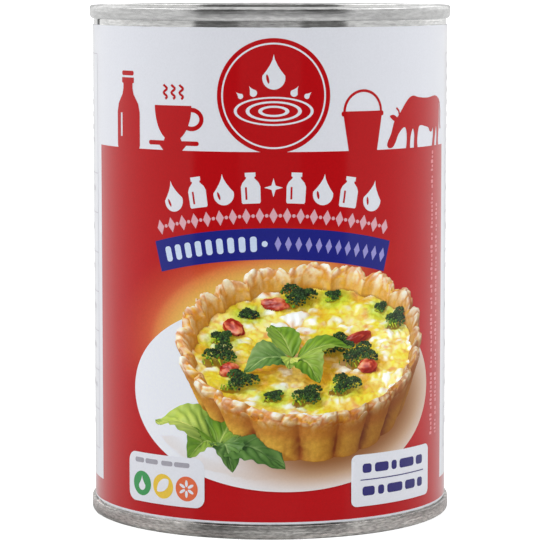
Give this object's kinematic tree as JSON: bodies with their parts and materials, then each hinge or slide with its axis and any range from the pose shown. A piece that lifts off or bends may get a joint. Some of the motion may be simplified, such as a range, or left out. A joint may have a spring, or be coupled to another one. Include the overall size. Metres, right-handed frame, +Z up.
{
  "type": "evaporated milk can",
  "caption": "Shut round tin can of evaporated milk, with double-seamed countersunk ends and a printed paper label wrapped round its wall.",
  "frame": {"origin": "middle of the base, on the surface that the can stands on", "axes": "+Z up along the can's axis, -Y out of the front of the label, +X to the right seen from the front"},
  "size_m": [0.0762, 0.0762, 0.107],
  "materials": {
    "tinplate_body": "bright tinplate, welded and lacquered",
    "tinplate_end": "bright pressed tinplate",
    "label": "printed and varnished paper"
  },
  "bodies": {
    "root": {"can_body": "tinplate_body", "top_end": "tinplate_end", "bottom_end": "tinplate_end", "label": "label"}
  },
  "joints": []
}
